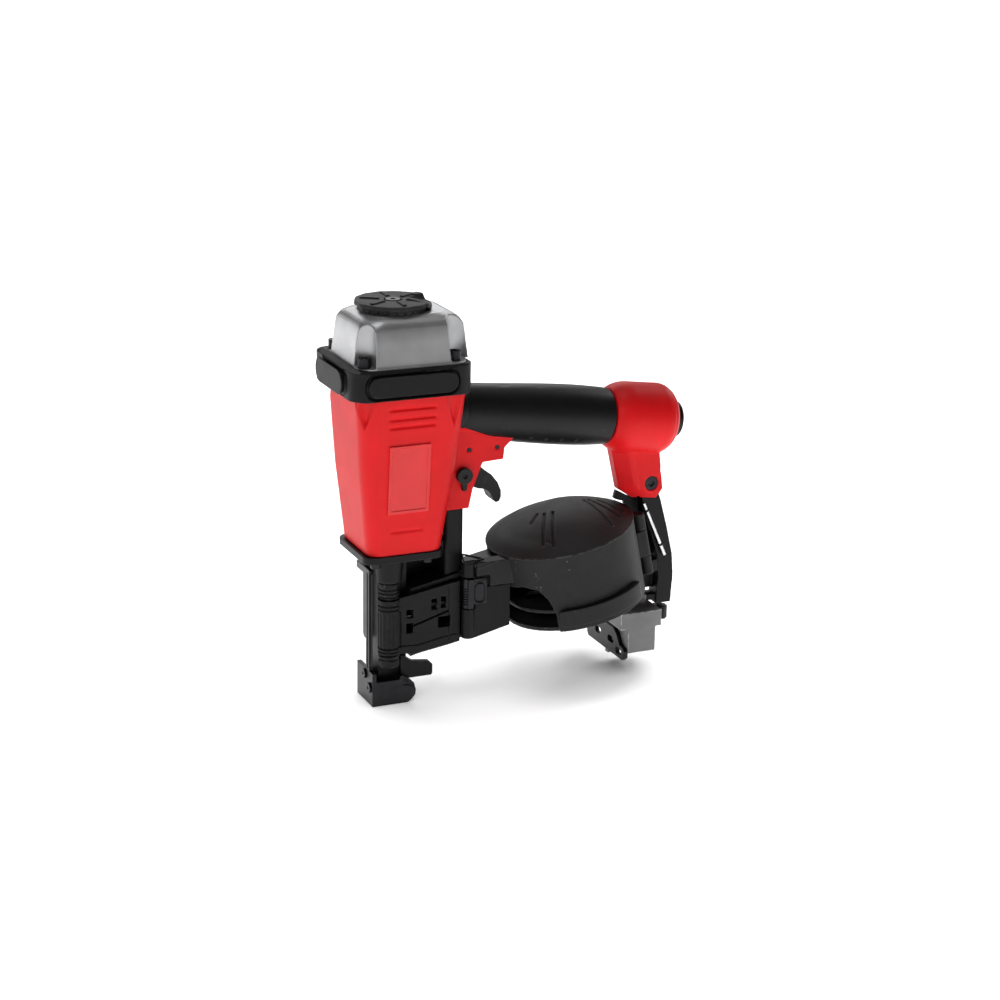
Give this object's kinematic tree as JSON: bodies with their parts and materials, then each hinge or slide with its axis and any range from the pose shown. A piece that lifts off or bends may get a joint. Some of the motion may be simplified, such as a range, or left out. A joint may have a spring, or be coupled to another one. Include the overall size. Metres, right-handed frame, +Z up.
{
  "type": "pneumatic coil roofing nailer",
  "caption": "Pneumatic coil roofing nailer: tapered housing with ribbed guard and cast head, drooped grip, side door, tilted round nail canister, spring-loaded contact foot and sliding shingle guide.",
  "frame": {"origin": "where the driver's axis meets the plane under the contact foot", "axes": "+Z up along the driver axis from the work to the cap; +X backwards along the grip to the air inlet; -Y is the side with the nail door and the canister's opening cover"},
  "size_m": [0.2608, 0.108, 0.2805],
  "materials": {
    "red_paint": "satin red enamel",
    "badge_red": "gloss red",
    "cast_grey": "bead-blasted casting",
    "dark_cast": "black textured coat",
    "guard_rubber": "matte black",
    "grip_rubber": "soft black",
    "black_plastic": "moulded black",
    "grey_plastic": "moulded mid grey",
    "black_oxide": "black oxide",
    "bright_steel": "ground steel",
    "sleeve_alloy": "turned",
    "seal_rubber": "black nitrile"
  },
  "bodies": {
    "tool": {"housing": "red_paint", "badge_plate": "badge_red", "housing_pins": "black_oxide", "bumper_guard": "guard_rubber", "cap": "cast_grey", "cap_gasket": "seal_rubber", "cap_bolts": "black_oxide", "exhaust_screw": "black_oxide", "cylinder_sleeve": "sleeve_alloy", "bottom_bumper": "seal_rubber", "head_valve_spring": "bright_steel", "grip": "grip_rubber", "end_cap": "red_paint", "end_cap_seal": "seal_rubber", "end_cap_screws": "black_oxide", "air_inlet": "black_oxide", "trigger_valve": "black_plastic", "plunger_spring": "bright_steel", "nose_body": "dark_cast", "nose_bolts": "black_oxide", "arm_housing": "dark_cast", "contact_spring": "bright_steel", "arm_guide": "black_oxide", "feed_track": "dark_cast", "door_hinge_pin": "black_oxide", "latch_pin": "black_oxide", "feed_spring": "bright_steel", "magazine_base": "black_plastic", "platform_post": "black_oxide", "cover_hinge_pin": "black_oxide", "support_arm": "dark_cast", "bracket_bolt": "black_oxide", "tie_rod": "bright_steel", "tie_rod_clips": "black_oxide", "guide_knob": "black_plastic"},
    "deflector": {"exhaust_deflector": "black_plastic"},
    "trigger": {"trigger": "black_plastic", "lever_pin": "black_oxide"},
    "trigger_lever": {"trigger_lever": "black_oxide"},
    "plunger": {"trigger_plunger": "bright_steel"},
    "selector": {"mode_selector": "black_plastic"},
    "contact": {"contact_foot": "black_oxide", "foot_rivets": "black_oxide", "contact_arm": "black_oxide"},
    "dial": {"depth_dial": "grey_plastic"},
    "driver": {"piston": "sleeve_alloy", "piston_ring": "seal_rubber", "driver_blade": "bright_steel"},
    "head_valve": {"head_valve": "sleeve_alloy"},
    "feeder": {"feed_piston": "sleeve_alloy", "feed_pawl": "black_oxide"},
    "door": {"door": "dark_cast"},
    "latch": {"door_latch": "black_oxide"},
    "cover": {"magazine_cover": "black_plastic", "cover_pad": "grip_rubber"},
    "platform": {"coil_platform": "black_plastic"},
    "guide": {"skid_block": "grey_plastic", "guide_plate": "black_oxide"}
  },
  "joints": [
    {"name": "deflector_turn", "type": "hinge", "parent": "tool", "child": "deflector", "pos_m": [0.0015, 0, 0.277], "axis": [0, 0, 1], "continuous": true},
    {"name": "trigger_pull", "type": "hinge", "parent": "tool", "child": "trigger", "pos_m": [0.0476, 0, 0.158], "axis": [0, -1, 0], "range_deg": [0, 10], "stiffness_Nm_per_rad": 0.6, "springref_deg": -14.32},
    {"name": "lever_tilt", "type": "hinge", "parent": "trigger", "child": "trigger_lever", "pos_m": [0.066, 0, 0.1505], "axis": [0, 1, 0], "range_deg": [0, 3.01]},
    {"name": "plunger_press", "type": "slide", "parent": "tool", "child": "plunger", "axis": [0, 0, 1], "range_m": [0, 0.0026], "deforming": ["plunger_spring"]},
    {"name": "selector_turn", "type": "hinge", "parent": "tool", "child": "selector", "pos_m": [0.0476, 0, 0.158], "axis": [0, -1, 0], "range_deg": [0, 90]},
    {"name": "contact_press", "type": "slide", "parent": "tool", "child": "contact", "axis": [0, 0, 1], "range_m": [0, 0.01], "stiffness_N_per_m": 1500, "springref_m": -0.02, "deforming": ["contact_spring"]},
    {"name": "dial_turn", "type": "hinge", "parent": "tool", "child": "dial", "pos_m": [0.0424, 0, 0.121], "axis": [0, 0, 1], "continuous": true},
    {"name": "driver_stroke", "type": "slide", "parent": "tool", "child": "driver", "axis": [0, 0, -1], "range_m": [0, 0.072]},
    {"name": "head_valve_lift", "type": "slide", "parent": "tool", "child": "head_valve", "axis": [0, 0, 1], "range_m": [0, 0.004], "stiffness_N_per_m": 800, "springref_m": -0.012, "deforming": ["head_valve_spring"]},
    {"name": "feed_stroke", "type": "slide", "parent": "tool", "child": "feeder", "axis": [1, 0, 0], "range_m": [0, 0.0085], "stiffness_N_per_m": 400, "springref_m": -0.008, "deforming": ["feed_spring"]},
    {"name": "door_swing", "type": "hinge", "parent": "tool", "child": "door", "pos_m": [-0.006, -0.0135, 0.057], "axis": [0, 0, -1], "range_deg": [0, 110]},
    {"name": "latch_swing", "type": "hinge", "parent": "tool", "child": "latch", "pos_m": [0.0493, -0.02, 0.076], "axis": [0, 0, -1], "range_deg": [0, 35], "stiffness_Nm_per_rad": 0.1, "springref_deg": -17.19},
    {"name": "cover_swing", "type": "hinge", "parent": "tool", "child": "cover", "pos_m": [0.17859, -0.016, 0.12084], "axis": [-0.2079, 0, 0.9781], "range_deg": [0, 100]},
    {"name": "platform_lift", "type": "slide", "parent": "tool", "child": "platform", "axis": [-0.2079, 0, 0.9781], "range_m": [0, 0.012]},
    {"name": "guide_slide", "type": "slide", "parent": "tool", "child": "guide", "axis": [1, 0, 0], "range_m": [-0.01, 0.004]}
  ],
  "couplings": [
    {"joint": "plunger_press", "follows": "trigger_pull", "m_per_rad": 0.0144},
    {"joint": "lever_tilt", "follows": "contact_press", "rad_per_m": 5.236}
  ]
}
